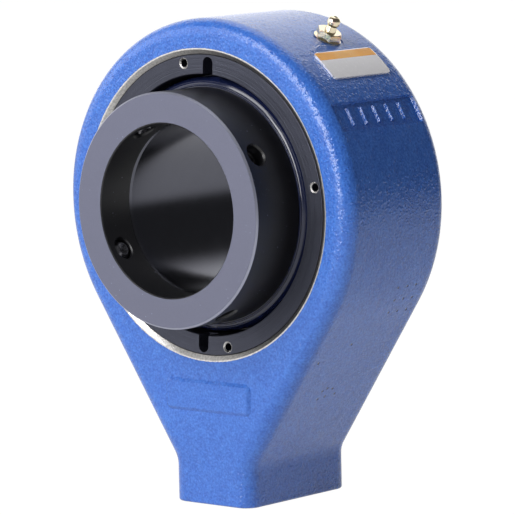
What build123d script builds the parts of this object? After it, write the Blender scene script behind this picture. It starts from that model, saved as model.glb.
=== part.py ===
from build123d import *

import os
from math import asin, atan, cos, degrees, floor, pi, radians, sin, sqrt, tan

# Hanger bearing: a cast teardrop housing on a short foot, holding a double-row spherical
# roller bearing behind a threaded cover, with a set-screw locking collar at the front.
# Millimetres. The origin is the centre of the foot's base, +Z is up, the shaft's axis lies
# along Y and the collar faces -Y.

INCH = 25.4

# Cutting solids run this far past the surfaces that they cut
OVERCUT = 1.0

# Shaft and collar
SHAFT_DIA = 2.9375 * INCH
COLLAR_WALL = 0.53125 * INCH
COLLAR_FACE_REACH = 24.65
COLLAR_LENGTH = 33.9
COLLAR_GRIP_LENGTH = 18.2
COLLAR_OUTER_CHAMFER = 0.8
COLLAR_BORE_CHAMFER = 0.5

# Eccentric lock between the collar and the inner ring's nose
CAM_OFFSET = 1.5
CAM_CLEARANCE = 0.5
NOSE_WALL = 6.2
NOSE_END_GAP = 1.0
NOSE_SHOULDER_GAP = 0.3

# Set screws, a quarter turn from each other
SCREW_COUNT = 4
SCREW_FIRST_ANGLE = 30.0
SCREW_DIA = 9.5
SCREW_CLEARANCE = 0.05
SCREW_TIP_RECESS = 0.4
SCREW_HEAD_RECESS = 5.1
SCREW_HEAD_CHAMFER = 0.6
SCREW_POINT_LENGTH = 1.6
SCREW_POINT_RIM = 0.4
SCREW_SOCKET_FLATS = 4.8
SCREW_SOCKET_DEPTH = 4.0
SCREW_CUP_DIA = 5.0
SCREW_CUP_DEPTH = 1.2
SCREW_SETBACK = 8.4
SCREW_HOLE_CHAMFER = 0.5

# Housing casting, from the bearing outwards
AXIS_HEIGHT = 130.4
HEAD_WALL = 15.2
REAR_SHOULDER_LENGTH = 13.25
FOOT_WIDTH = 43.8
FOOT_HEIGHT = 18.3
NECK_RADIUS = 9.0
EDGE_RADIUS = 7.0
BASE_EDGE_RADIUS = 1.2

# Tapped hole in the foot for the hanger, and the metal left between it and the cavity
HANGER_DRILL_DIA = 22.225
HANGER_ROOF = 26.44
HANGER_CHAMFER = 0.5
DRILL_POINT_SLOPE = 0.6

# Raised pad on the front face, under the mouth
PAD_WIDTH = 48.0
PAD_HEIGHT = 14.0
PAD_MOUTH_GAP = 8.84
PAD_CORNER = 3.0
PAD_RISE = 1.2
PAD_ROOT = 0.4
PAD_DRAFT = 50.0

# Recess with raised marks on the right-hand rim
RECESS_ANGLE = 30.0
RECESS_EDGE = 6.25
RECESS_HEIGHT = 13.4
RECESS_DEPTH = 1.5
RECESS_CORNER = 0.8
RECESS_DRAFT = 25.0
MARK_COUNT = 5
MARK_PITCH = 8.6
MARK_LENGTH = 8.4
MARK_WIDTH = 2.0
MARK_SINK = 0.4
MARK_ROOT = 0.5
MARK_DRAFT = 28.0

# Bearing insert: rings, raceways and the two rows of barrel rollers
BEARING_WIDTH = 31.0
OUTER_RING_WALL = 6.5
RING_CHAMFER = 1.0
RING_END_MARGIN = 1.176
GREASE_GROOVE_WIDTH = 6.0
GREASE_GROOVE_DEPTH = 1.5
GREASE_HOLE_DIA = 3.0
GREASE_HOLE_COUNT = 3
ROLLER_DIA = 13.0
ROLLER_SPACING = 3.9
ROW_HALF_GAP = 2.824
CROWN_RELIEF = 2.5
INNER_RACE_RELIEF = 1.0
RUNNING_CLEARANCE = 0.05
ROLLER_END_CLEARANCE = 0.15
LAND_HALF_WIDTH = 1.95
INNER_RING_REAR_REACH = 3.3
INNER_RING_CHAMFER = 0.8

# Window cages and the floating guide ring
CAGE_THICKNESS = 2.0
CAGE_END_BAR = 2.2
CAGE_POCKET_CLEARANCE = 0.2
CAGE_RIB_GAP = 1.4
GUIDE_RING_CLEARANCE = 0.25
GUIDE_RING_HEIGHT = 5.0

# Threaded cover
COVER_WALL = 8.8
COVER_LENGTH = 22.13
COVER_SETBACK = 1.12
COVER_CLEARANCE = 0.06
COVER_CHAMFER = 0.4
THREAD_STEP = 0.1
MOUTH_CHAMFER = 1.9
MOUTH_CHAMFER_DEPTH = 1.33
THREAD_RELIEF_LENGTH = 2.5
THREAD_RELIEF_DEPTH = 0.8
SLOT_WIDTH = 5.5
SLOT_RIM = 1.1
SLOT_DEPTH = 7.0
SLOT_FIRST_ANGLE = 87.2
SLOT_COUNT = 2
COVER_HOLE_COUNT = 4
COVER_HOLE_FIRST_ANGLE = 10.0
COVER_HOLE_INSET = 3.5
COVER_HOLE_DIA = 3.4
COVER_HOLE_SINK_DIA = 4.6
COVER_HOLE_SINK_DEPTH = 0.45
COVER_HOLE_DEPTH = 9.0

# Rubber seals
SEAL_SPACE = 5.5
SEAL_SIDE_GAP = 1.3
SEAL_LIP_CLEARANCE = 0.06
SEAL_COLLAR_GAP = 0.3
SEAL_LIP_SETBACK = 1.7
SEAL_LIP_THICKNESS = 1.2
SEAL_SHOULDER_LENGTH = 4.9
SEAL_GROOVE_DEPTH = 1.6
SEAL_GROOVE_WIDTH = 2.0
SEAL_RIM_WIDTH = 1.2
SEAL_RIM_HEIGHT = 0.4
SEAL_BACK_LENGTH = 4.7
SEAL_CAGE_GAP = 1.0
REAR_SEAL_SETBACK = 2.2

# Nameplate curved to the rim, above the recess
PLATE_SPREAD = 18.6
PLATE_OFFSET = 3.4
PLATE_LENGTH = 38.2
PLATE_HEIGHT = 15.8
PLATE_CORNER = 2.2
PLATE_THICKNESS = 0.8

# Grease nipple on the shoulder, above the nameplate and radial to the head
NIPPLE_SPREAD = 12.8
NIPPLE_SPOT_DIA = 15.0
NIPPLE_SPOT_DEPTH = 0.4
NIPPLE_FLANGE_LIP = 0.35
NIPPLE_FLANGE_RIM = 0.7
NIPPLE_FLANGE_HEIGHT = 1.5
NIPPLE_HEX_FLATS = 10.0
NIPPLE_HEX_HEIGHT = 2.7
NIPPLE_HEX_CHAMFER = 0.6
NIPPLE_HEX_FACE_TRIM = 0.2
NIPPLE_HEX_TURN = -12.0
NIPPLE_NECK_DIA = 5.1
NIPPLE_NECK_LENGTH = 2.3
NIPPLE_NECK_TOP_DIA = 4.2
NIPPLE_HEAD_DIA = 5.5
NIPPLE_HEAD_LENGTH = 4.35
NIPPLE_HEAD_FLARE = 1.1
NIPPLE_HEAD_DOME = 2.2
NIPPLE_SHANK_DIA = 8.8
NIPPLE_SHANK_LENGTH = 8.0
NIPPLE_SHANK_CHAMFER = 0.6
NIPPLE_SHANK_CLEARANCE = 0.05
NIPPLE_SEAT_RUNOUT = 1.0
NIPPLE_FEED_DIA = 1.8
NIPPLE_CHAMBER_DIA = 3.0
NIPPLE_CHAMBER_LENGTH = 6.0
NIPPLE_ORIFICE_DIA = 1.6
NIPPLE_SEAT_LENGTH = 1.0
NIPPLE_LID = 0.6
BALL_SIDE_GAP = 0.2
BALL_CLEARANCE = 0.03
SPRING_WIRE_DIA = 0.36
SPRING_SIDE_GAP = 0.22
SPRING_TURNS = 4.0
SPRING_END_GAP = 0.05
GREASE_DRILL_DIA = 4.0

# Radii, from the shaft outwards
SHAFT_R = SHAFT_DIA / 2
NOSE_R = SHAFT_R + NOSE_WALL
COLLAR_R = SHAFT_R + COLLAR_WALL
COVER_BORE_R = COLLAR_R + SEAL_SPACE
SEAL_R = COVER_BORE_R - SEAL_SIDE_GAP
COVER_R = COVER_BORE_R + COVER_WALL
MOUTH_R = COVER_R + COVER_CLEARANCE
CAVITY_R = MOUTH_R + THREAD_RELIEF_DEPTH
BEARING_R = COVER_R - THREAD_STEP
HEAD_R = BEARING_R + HEAD_WALL

# Places along the shaft
HOUSING_WIDTH = COVER_SETBACK + COVER_LENGTH + BEARING_WIDTH + REAR_SHOULDER_LENGTH
FACE_Y = HOUSING_WIDTH / 2
COVER_FACE_Y = -FACE_Y + COVER_SETBACK
BEARING_FRONT_Y = COVER_FACE_Y + COVER_LENGTH
BEARING_REAR_Y = BEARING_FRONT_Y + BEARING_WIDTH
BEARING_Y = BEARING_FRONT_Y + BEARING_WIDTH / 2
COLLAR_FACE_Y = -FACE_Y - COLLAR_FACE_REACH
COLLAR_REAR_Y = COLLAR_FACE_Y + COLLAR_LENGTH
COLLAR_STEP_Y = COLLAR_FACE_Y + COLLAR_GRIP_LENGTH
NOSE_END_Y = COLLAR_STEP_Y + NOSE_END_GAP
NOSE_SHOULDER_Y = COLLAR_REAR_Y + NOSE_SHOULDER_GAP
INNER_RING_REAR_Y = FACE_Y + INNER_RING_REAR_REACH
RECESS_LENGTH = HOUSING_WIDTH - 2 * RECESS_EDGE

# Angles round the head of what sits on the rim
PLATE_ANGLE = RECESS_ANGLE + PLATE_SPREAD
NIPPLE_ANGLE = PLATE_ANGLE + NIPPLE_SPREAD

# Rolling geometry: distances from the bearing's centre along a row's contact line
ROLLER_R = ROLLER_DIA / 2
ROLLER_LENGTH = BEARING_WIDTH / 2 - ROW_HALF_GAP - RING_END_MARGIN
OUTER_RACE_R = BEARING_R - OUTER_RING_WALL
PITCH_REACH = OUTER_RACE_R - RUNNING_CLEARANCE - ROLLER_R
INNER_RACE_REACH = PITCH_REACH - ROLLER_R - RUNNING_CLEARANCE
CROWN_R = OUTER_RACE_R - CROWN_RELIEF
INNER_RACE_R = OUTER_RACE_R - INNER_RACE_RELIEF
CONTACT_SIN = (ROW_HALF_GAP + ROLLER_LENGTH / 2) / PITCH_REACH
CONTACT_COS = sqrt(1 - CONTACT_SIN ** 2)
ROLLERS_PER_ROW = floor(2 * pi * PITCH_REACH * CONTACT_COS / (ROLLER_DIA + ROLLER_SPACING))
CAGE_HALF_LENGTH = ROLLER_LENGTH / 2 + CAGE_POCKET_CLEARANCE + CAGE_END_BAR
RACE_CENTRE_REACH = INNER_RACE_REACH + INNER_RACE_R

SHAFT_AXIS = Axis((0, 0, AXIS_HEIGHT), (0, 1, 0))
TURNING_PLANE = Plane(origin=(0, 0, AXIS_HEIGHT), x_dir=(0, 1, 0), z_dir=(1, 0, 0))


def turned(points):
    """Revolve a closed outline of (y, radius) points about the shaft's axis."""
    outline = make_face(Polyline(*points, close=True))
    return revolve(TURNING_PLANE * outline, SHAFT_AXIS)


def turned_edges(edges):
    """Revolve an outline made of joined lines and arcs in (y, radius)."""
    outline = make_face(edges)
    return revolve(TURNING_PLANE * outline, SHAFT_AXIS)


def turned_upright(points):
    """Revolve a closed outline of (radius, height) points about Z."""
    return revolve(Plane.XZ * make_face(Polyline(*points, close=True)), Axis.Z)


def shaft_cylinder(radius, start_y, end_y):
    """A plain cylinder along the shaft's axis between two places."""
    return turned([(start_y, 0), (start_y, radius), (end_y, radius), (end_y, 0)])


def radial_plane(angle, radius, y):
    """A plane square to the radius at an angle, with its x along the shaft."""
    out_x = cos(radians(angle))
    out_z = sin(radians(angle))
    origin = (radius * out_x, y, AXIS_HEIGHT + radius * out_z)
    return Plane(origin=origin, x_dir=(0, 1, 0), z_dir=(out_x, 0, out_z))


def along_row(offset, reach, side):
    """A point (y, radius) given along a roller's axis and along its contact line."""
    y = offset * CONTACT_COS + reach * CONTACT_SIN
    radius = reach * CONTACT_COS - offset * CONTACT_SIN
    return (BEARING_Y + side * y, radius)


def rib_radius():
    """Outside radius of the inner ring's ribs, just inside the cages."""
    cage_inside = along_row(CAGE_HALF_LENGTH, PITCH_REACH - CAGE_THICKNESS / 2, 1)
    return cage_inside[1] - CAGE_RIB_GAP


def land_radius():
    """Radius of the land between the two inner raceways."""
    centre_y, centre_r = along_row(0, RACE_CENTRE_REACH, 1)
    run = centre_y - BEARING_Y - LAND_HALF_WIDTH
    return centre_r - sqrt(INNER_RACE_R ** 2 - run ** 2)


RIB_R = rib_radius()
LAND_R = land_radius()


def housing_outline():
    """The teardrop: round head, tangent flanks, necks and a straight foot."""
    half_foot = FOOT_WIDTH / 2
    drop = AXIS_HEIGHT - FOOT_HEIGHT
    reach = sqrt(half_foot ** 2 + drop ** 2)
    lean = asin(HEAD_R / reach) - atan(half_foot / drop)
    tangent_x = HEAD_R * cos(lean)
    tangent_z = AXIS_HEIGHT - HEAD_R * sin(lean)
    left_tangent = (-tangent_x, tangent_z)
    right_tangent = (tangent_x, tangent_z)
    crown = (0, AXIS_HEIGHT + HEAD_R)
    head = ThreePointArc(left_tangent, crown, right_tangent)
    sides = Polyline(
        right_tangent,
        (half_foot, FOOT_HEIGHT),
        (half_foot, 0),
        (-half_foot, 0),
        (-half_foot, FOOT_HEIGHT),
        left_tangent,
    )
    outline = make_face([head, sides])
    necks = [v for v in outline.vertices() if abs(v.Y - FOOT_HEIGHT) < 0.001]
    return fillet(necks, NECK_RADIUS)


def housing_blank():
    """The casting's outer body with its rounded front and back edges."""
    body = extrude(Plane.XZ * housing_outline(), HOUSING_WIDTH / 2, both=True)
    rims = [
        edge
        for edge in body.edges()
        if abs(abs(edge.center().Y) - FACE_Y) < 0.001 and edge.center().Z > 0.001
    ]
    body = fillet(rims, EDGE_RADIUS)
    base = body.faces().sort_by(Axis.Z)[0]
    return fillet(base.edges(), BASE_EDGE_RADIUS)


def front_pad():
    """Low raised pad under the mouth, rooted in the casting."""
    mouth_bottom = AXIS_HEIGHT - MOUTH_R - MOUTH_CHAMFER
    centre_z = mouth_bottom - PAD_MOUTH_GAP - PAD_HEIGHT / 2
    flare = PAD_ROOT * tan(radians(PAD_DRAFT))
    plane = Plane.XZ.offset(FACE_Y - PAD_ROOT)
    foot = RectangleRounded(PAD_WIDTH + 2 * flare, PAD_HEIGHT + 2 * flare, PAD_CORNER + flare)
    return extrude(plane * (Pos(0, centre_z) * foot), PAD_ROOT + PAD_RISE, taper=PAD_DRAFT)


def rim_recess():
    """The shallow sunk panel on the rim, its walls drafted outwards from the floor."""
    narrowing = 2 * RECESS_DEPTH * tan(radians(RECESS_DRAFT))
    plane = radial_plane(RECESS_ANGLE, HEAD_R - RECESS_DEPTH, 0)
    sketch = RectangleRounded(RECESS_LENGTH - narrowing, RECESS_HEIGHT - narrowing, RECESS_CORNER)
    return extrude(plane * sketch, RECESS_DEPTH + OVERCUT, taper=-RECESS_DRAFT)


def rim_marks():
    """A row of plain raised bars on the recess's floor, just under the rim's surface."""
    plane = radial_plane(RECESS_ANGLE, HEAD_R - RECESS_DEPTH - MARK_ROOT, 0)
    rise = MARK_ROOT + RECESS_DEPTH - MARK_SINK
    flare = 2 * MARK_ROOT * tan(radians(MARK_DRAFT))
    first = -MARK_PITCH * (MARK_COUNT - 1) / 2
    marks = Part()
    for index in range(MARK_COUNT):
        foot = Rectangle(MARK_WIDTH + flare, MARK_LENGTH + flare)
        sketch = Pos(first + index * MARK_PITCH, 0) * foot
        marks += extrude(plane * sketch, rise, taper=MARK_DRAFT)
    return marks


def housing_cavity():
    """Mouth, thread, bearing seat and the rear shoulder's bore."""
    return turned([
        (-FACE_Y - OVERCUT, 0),
        (-FACE_Y - OVERCUT, MOUTH_R + MOUTH_CHAMFER),
        (-FACE_Y, MOUTH_R + MOUTH_CHAMFER),
        (-FACE_Y + MOUTH_CHAMFER_DEPTH, MOUTH_R),
        (BEARING_FRONT_Y - THREAD_RELIEF_LENGTH, MOUTH_R),
        (BEARING_FRONT_Y - THREAD_RELIEF_LENGTH, CAVITY_R),
        (BEARING_FRONT_Y, CAVITY_R),
        (BEARING_FRONT_Y, BEARING_R),
        (BEARING_REAR_Y, BEARING_R),
        (BEARING_REAR_Y, COVER_BORE_R),
        (FACE_Y - RING_CHAMFER, COVER_BORE_R),
        (FACE_Y, COVER_BORE_R + RING_CHAMFER),
        (FACE_Y + OVERCUT, COVER_BORE_R + RING_CHAMFER),
        (FACE_Y + OVERCUT, 0),
    ])


def hanger_hole():
    """Blind tapped hole up the foot, with its drill point and mouth chamfer."""
    radius = HANGER_DRILL_DIA / 2
    depth = AXIS_HEIGHT - CAVITY_R - HANGER_ROOF
    return turned_upright([
        (0, -OVERCUT),
        (radius + HANGER_CHAMFER, -OVERCUT),
        (radius + HANGER_CHAMFER, 0),
        (radius, HANGER_CHAMFER),
        (radius, depth),
        (0, depth + radius * DRILL_POINT_SLOPE),
    ])


def nipple_plane():
    """Plane on the spot face, with its z out of the housing."""
    return radial_plane(NIPPLE_ANGLE, HEAD_R - NIPPLE_SPOT_DEPTH, BEARING_Y)


def nipple_cuts():
    """Spot face, tapped seat and the drilling down to the bearing's groove."""
    plane = nipple_plane()
    spot = extrude(plane * Circle(NIPPLE_SPOT_DIA / 2), NIPPLE_SPOT_DEPTH + OVERCUT)
    seat_r = NIPPLE_SHANK_DIA / 2 + NIPPLE_SHANK_CLEARANCE
    seat = extrude(plane * Circle(seat_r), -NIPPLE_SHANK_LENGTH - NIPPLE_SEAT_RUNOUT)
    feed = extrude(plane * Circle(GREASE_DRILL_DIA / 2), -HEAD_WALL - OVERCUT)
    return spot + seat + feed


def make_housing():
    """One-piece cast housing."""
    body = housing_blank() + front_pad()
    body -= rim_recess()
    body += rim_marks()
    body -= housing_cavity()
    body -= hanger_hole()
    body -= nipple_cuts()
    return body


def make_outer_ring():
    """Outer ring: spherical raceway, grease groove and grease holes."""
    end_r = sqrt(OUTER_RACE_R ** 2 - (BEARING_WIDTH / 2) ** 2)
    groove_front = BEARING_Y - GREASE_GROOVE_WIDTH / 2
    groove_rear = BEARING_Y + GREASE_GROOVE_WIDTH / 2
    back = Polyline(
        (BEARING_FRONT_Y, end_r),
        (BEARING_FRONT_Y, BEARING_R - RING_CHAMFER),
        (BEARING_FRONT_Y + RING_CHAMFER, BEARING_R),
        (groove_front, BEARING_R),
        (groove_front, BEARING_R - GREASE_GROOVE_DEPTH),
        (groove_rear, BEARING_R - GREASE_GROOVE_DEPTH),
        (groove_rear, BEARING_R),
        (BEARING_REAR_Y - RING_CHAMFER, BEARING_R),
        (BEARING_REAR_Y, BEARING_R - RING_CHAMFER),
        (BEARING_REAR_Y, end_r),
    )
    race = ThreePointArc(
        (BEARING_FRONT_Y, end_r), (BEARING_Y, OUTER_RACE_R), (BEARING_REAR_Y, end_r)
    )
    ring = turned_edges([back, race])
    for index in range(GREASE_HOLE_COUNT):
        angle = NIPPLE_ANGLE + index * 360 / GREASE_HOLE_COUNT
        plane = radial_plane(angle, OUTER_RACE_R - OVERCUT, BEARING_Y)
        ring -= extrude(plane * Circle(GREASE_HOLE_DIA / 2), OUTER_RING_WALL + OVERCUT)
    return ring


def race_outline(side):
    """Inner raceway of one row, from the middle land to the top of the outer rib."""
    land = (BEARING_Y + side * LAND_HALF_WIDTH, LAND_R)
    bottom = along_row(0, INNER_RACE_REACH, side)
    rib_offset = ROLLER_LENGTH / 2 + ROLLER_END_CLEARANCE
    depth = RACE_CENTRE_REACH - sqrt(INNER_RACE_R ** 2 - rib_offset ** 2)
    rib_foot = along_row(rib_offset, depth, side)
    rib_reach = (RIB_R + rib_offset * CONTACT_SIN) / CONTACT_COS
    rib_top = along_row(rib_offset, rib_reach, side)
    return land, rib_top, [ThreePointArc(land, bottom, rib_foot), Line(rib_foot, rib_top)]


def make_inner_ring():
    """Wide inner ring with two raceways, seal lands and the eccentric nose."""
    front_land, front_rib, front_edges = race_outline(-1)
    rear_land, rear_rib, rear_edges = race_outline(1)
    chamfer = INNER_RING_CHAMFER
    shell = Polyline(
        front_rib,
        (NOSE_SHOULDER_Y, RIB_R),
        (NOSE_SHOULDER_Y, SHAFT_R),
        (INNER_RING_REAR_Y - chamfer, SHAFT_R),
        (INNER_RING_REAR_Y, SHAFT_R + chamfer),
        (INNER_RING_REAR_Y, RIB_R - chamfer),
        (INNER_RING_REAR_Y - chamfer, RIB_R),
        rear_rib,
    )
    ring = turned_edges([shell, Line(front_land, rear_land)] + front_edges + rear_edges)
    nose = shaft_cylinder(NOSE_R, NOSE_END_Y, NOSE_SHOULDER_Y + OVERCUT)
    ring += Pos(CAM_OFFSET, 0, 0) * nose
    ring -= turned([
        (NOSE_END_Y - OVERCUT, 0),
        (NOSE_END_Y - OVERCUT, SHAFT_R + chamfer),
        (NOSE_END_Y, SHAFT_R + chamfer),
        (NOSE_END_Y + chamfer, SHAFT_R),
        (NOSE_SHOULDER_Y + 2 * OVERCUT, SHAFT_R),
        (NOSE_SHOULDER_Y + 2 * OVERCUT, 0),
    ])
    return ring


def screw_angles():
    """Angles of the collar's set screws."""
    return [SCREW_FIRST_ANGLE + index * 360 / SCREW_COUNT for index in range(SCREW_COUNT)]


def screw_plane(angle):
    """Plane on the shaft's axis with its z along one set screw."""
    return radial_plane(angle, 0, COLLAR_FACE_Y + SCREW_SETBACK)


def make_locking_collar():
    """Collar with its shaft bore, eccentric recess and radial tapped holes."""
    outer = COLLAR_OUTER_CHAMFER
    inner = COLLAR_BORE_CHAMFER
    collar = turned([
        (COLLAR_FACE_Y, SHAFT_R + inner),
        (COLLAR_FACE_Y, COLLAR_R - outer),
        (COLLAR_FACE_Y + outer, COLLAR_R),
        (COLLAR_REAR_Y - inner, COLLAR_R),
        (COLLAR_REAR_Y, COLLAR_R - inner),
        (COLLAR_REAR_Y, SHAFT_R),
        (COLLAR_FACE_Y + inner, SHAFT_R),
    ])
    recess = shaft_cylinder(NOSE_R + CAM_CLEARANCE, COLLAR_STEP_Y, COLLAR_REAR_Y + OVERCUT)
    collar -= Pos(CAM_OFFSET, 0, 0) * recess
    hole_r = SCREW_DIA / 2 + SCREW_CLEARANCE
    mouth = SCREW_HOLE_CHAMFER
    bore_sag = SHAFT_R - sqrt(SHAFT_R ** 2 - (hole_r + mouth) ** 2)
    rim_sag = COLLAR_R - sqrt(COLLAR_R ** 2 - (hole_r + mouth) ** 2)
    hole = turned_upright([
        (0, SHAFT_R - bore_sag - OVERCUT),
        (hole_r + mouth, SHAFT_R - bore_sag - OVERCUT),
        (hole_r + mouth, SHAFT_R - bore_sag),
        (hole_r, SHAFT_R - bore_sag + 2 * mouth),
        (hole_r, COLLAR_R - rim_sag - 2 * mouth),
        (hole_r + mouth, COLLAR_R - rim_sag),
        (hole_r + mouth, COLLAR_R + OVERCUT),
        (0, COLLAR_R + OVERCUT),
    ])
    for angle in screw_angles():
        collar -= screw_plane(angle) * hole
    return collar


def make_set_screw(angle):
    """Cup-point set screw with a hexagon socket, its tip just clear of the bore."""
    radius = SCREW_DIA / 2
    tip = SHAFT_R + SCREW_TIP_RECESS
    head = COLLAR_R - SCREW_HEAD_RECESS
    screw = turned_upright([
        (0, tip + SCREW_CUP_DEPTH),
        (SCREW_CUP_DIA / 2, tip),
        (SCREW_CUP_DIA / 2 + SCREW_POINT_RIM, tip),
        (radius, tip + SCREW_POINT_LENGTH),
        (radius, head - SCREW_HEAD_CHAMFER),
        (radius - SCREW_HEAD_CHAMFER, head),
        (0, head),
    ])
    socket_r = SCREW_SOCKET_FLATS / 2 / cos(pi / 6)
    socket = Pos(0, 0, head - SCREW_SOCKET_DEPTH) * extrude(
        RegularPolygon(socket_r, 6), SCREW_SOCKET_DEPTH + OVERCUT
    )
    return screw_plane(angle) * (screw - socket)


def roller_angle(side, index):
    """Angle about the shaft of one roller, the rows half a step apart."""
    step = 360 / ROLLERS_PER_ROW
    return (index + (0.5 if side > 0 else 0.0)) * step


def roller_plane(side):
    """Plane at the top roller's centre, with its z along the roller's own axis."""
    centre_y, centre_r = along_row(0, PITCH_REACH, side)
    return Plane(
        origin=(0, centre_y, AXIS_HEIGHT + centre_r),
        x_dir=(1, 0, 0),
        z_dir=(0, side * CONTACT_COS, -CONTACT_SIN),
    )


def make_rollers(side):
    """One row of barrel rollers as separate solids."""
    half = ROLLER_LENGTH / 2
    end_r = ROLLER_R - CROWN_R + sqrt(CROWN_R ** 2 - half ** 2)
    crown = ThreePointArc((end_r, -half), (ROLLER_R, 0), (end_r, half))
    ends = Polyline((end_r, half), (0, half), (0, -half), (end_r, -half))
    barrel = revolve(Plane.XZ * make_face([crown, ends]), Axis.Z)
    first = roller_plane(side) * barrel
    row = [
        first.rotate(SHAFT_AXIS, roller_angle(side, index)) for index in range(ROLLERS_PER_ROW)
    ]
    return Compound(row)


def make_cage(side):
    """Window cage of one row: a shallow cone with a pocket for each roller."""
    low = PITCH_REACH - CAGE_THICKNESS / 2
    high = PITCH_REACH + CAGE_THICKNESS / 2
    cage = turned([
        along_row(-CAGE_HALF_LENGTH, low, side),
        along_row(-CAGE_HALF_LENGTH, high, side),
        along_row(CAGE_HALF_LENGTH, high, side),
        along_row(CAGE_HALF_LENGTH, low, side),
    ])
    width = ROLLER_DIA + 2 * CAGE_POCKET_CLEARANCE
    length = ROLLER_LENGTH + 2 * CAGE_POCKET_CLEARANCE
    pocket = roller_plane(side) * Box(width, CAGE_THICKNESS + 2 * OVERCUT, length)
    pockets = [
        pocket.rotate(SHAFT_AXIS, roller_angle(side, index)) for index in range(ROLLERS_PER_ROW)
    ]
    return cage - pockets


def guide_half_width(radius):
    """Half the guide ring's width at a radius, between the rollers' inner ends."""
    end_offset = -ROLLER_LENGTH / 2
    reach = (radius + end_offset * CONTACT_SIN) / CONTACT_COS
    return end_offset * CONTACT_COS + reach * CONTACT_SIN - GUIDE_RING_CLEARANCE


def make_guide_ring():
    """Floating ring between the rows, riding on the inner ring's middle land."""
    inner_r = LAND_R + RUNNING_CLEARANCE
    outer_r = inner_r + GUIDE_RING_HEIGHT
    return turned([
        (BEARING_Y - guide_half_width(inner_r), inner_r),
        (BEARING_Y - guide_half_width(outer_r), outer_r),
        (BEARING_Y + guide_half_width(outer_r), outer_r),
        (BEARING_Y + guide_half_width(inner_r), inner_r),
    ])


def cover_slot(angle):
    """One spanner slot, open to the cover's bore and round at its outer end."""
    plane = Plane(origin=(0, COVER_FACE_Y, AXIS_HEIGHT), x_dir=(1, 0, 0), z_dir=(0, 1, 0))
    end_reach = COVER_R - SLOT_RIM - SLOT_WIDTH / 2
    run = Pos(end_reach / 2, 0) * Rectangle(end_reach, SLOT_WIDTH)
    end = Pos(end_reach, 0) * Circle(SLOT_WIDTH / 2)
    return extrude(plane * Rot(0, 0, -angle) * (run + end), SLOT_DEPTH)


def cover_hole():
    """A countersunk blind hole that starts at the origin and runs along +Y."""
    radius = COVER_HOLE_DIA / 2
    mouth = COVER_HOLE_SINK_DIA / 2
    outline = make_face(Polyline(
        (0, -OVERCUT),
        (mouth, -OVERCUT),
        (mouth, 0),
        (radius, COVER_HOLE_SINK_DEPTH),
        (radius, COVER_HOLE_DEPTH),
        (0, COVER_HOLE_DEPTH + radius * DRILL_POINT_SLOPE),
        close=True,
    ))
    return revolve(Plane.XY * outline, Axis.Y)


def make_threaded_cover():
    """Cover ring with spanner slots and small tapped holes in its face."""
    chamfer = COVER_CHAMFER
    cover = turned([
        (COVER_FACE_Y, COVER_BORE_R + chamfer),
        (COVER_FACE_Y, COVER_R - chamfer),
        (COVER_FACE_Y + chamfer, COVER_R),
        (BEARING_FRONT_Y, COVER_R),
        (BEARING_FRONT_Y, COVER_BORE_R),
        (COVER_FACE_Y + chamfer, COVER_BORE_R),
    ])
    for index in range(SLOT_COUNT):
        cover -= cover_slot(SLOT_FIRST_ANGLE + index * 360 / SLOT_COUNT)
    hole = cover_hole()
    circle_r = COVER_R - COVER_HOLE_INSET
    for index in range(COVER_HOLE_COUNT):
        angle = radians(COVER_HOLE_FIRST_ANGLE + index * 360 / COVER_HOLE_COUNT)
        place = (circle_r * cos(angle), COVER_FACE_Y, AXIS_HEIGHT + circle_r * sin(angle))
        cover -= Pos(*place) * hole
    return cover


def seal_shoulder(lip_y, lip_r, crest_y):
    """The seal's rounded shoulder: a quarter round from its lip out to its crest."""
    share = sqrt(0.5)
    middle_y = crest_y + (lip_y - crest_y) * share
    middle_r = lip_r + (SEAL_R - lip_r) * share
    return ThreePointArc((lip_y, lip_r), (middle_y, middle_r), (crest_y, SEAL_R))


def make_front_seal():
    """Rubber ring on the inner ring's land, its rounded lip hugging the collar."""
    lip_y = COVER_FACE_Y + SEAL_LIP_SETBACK
    crest_y = lip_y + SEAL_SHOULDER_LENGTH
    cage_y, cage_r = along_row(CAGE_HALF_LENGTH, PITCH_REACH, -1)
    rear_y = cage_y - SEAL_CAGE_GAP
    rim_end_y = rear_y - SEAL_BACK_LENGTH
    rim_y = rim_end_y - SEAL_RIM_WIDTH
    groove_y = rim_y - SEAL_GROOVE_WIDTH
    lip_r = COLLAR_R + SEAL_LIP_CLEARANCE
    inner_r = COLLAR_R + SEAL_COLLAR_GAP
    web_y = COLLAR_REAR_Y + SEAL_COLLAR_GAP
    rest = Polyline(
        (crest_y, SEAL_R),
        (groove_y, SEAL_R),
        (groove_y, SEAL_R - SEAL_GROOVE_DEPTH),
        (rim_y, SEAL_R - SEAL_GROOVE_DEPTH),
        (rim_y, SEAL_R + SEAL_RIM_HEIGHT),
        (rim_end_y, SEAL_R + SEAL_RIM_HEIGHT),
        (rear_y, cage_r + CAGE_THICKNESS),
        (rear_y, RIB_R),
        (web_y, RIB_R),
        (web_y, inner_r),
        (lip_y + SEAL_LIP_THICKNESS, inner_r),
        (lip_y, lip_r),
    )
    return turned_edges([seal_shoulder(lip_y, lip_r, crest_y), rest])


def make_rear_seal():
    """Rubber ring behind the bearing, in the housing's rear shoulder."""
    lip_y = FACE_Y - REAR_SEAL_SETBACK
    crest_y = lip_y - SEAL_SHOULDER_LENGTH
    cage_y, cage_r = along_row(CAGE_HALF_LENGTH, PITCH_REACH, 1)
    front_y = cage_y + SEAL_CAGE_GAP
    rest = Polyline(
        (crest_y, SEAL_R), (front_y, cage_r + CAGE_THICKNESS), (front_y, RIB_R), (lip_y, RIB_R)
    )
    return turned_edges([seal_shoulder(lip_y, RIB_R, crest_y), rest])


def hexagon_top():
    """Height of the hexagon's upper face above the spot face."""
    return NIPPLE_FLANGE_HEIGHT + NIPPLE_HEX_HEIGHT


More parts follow.
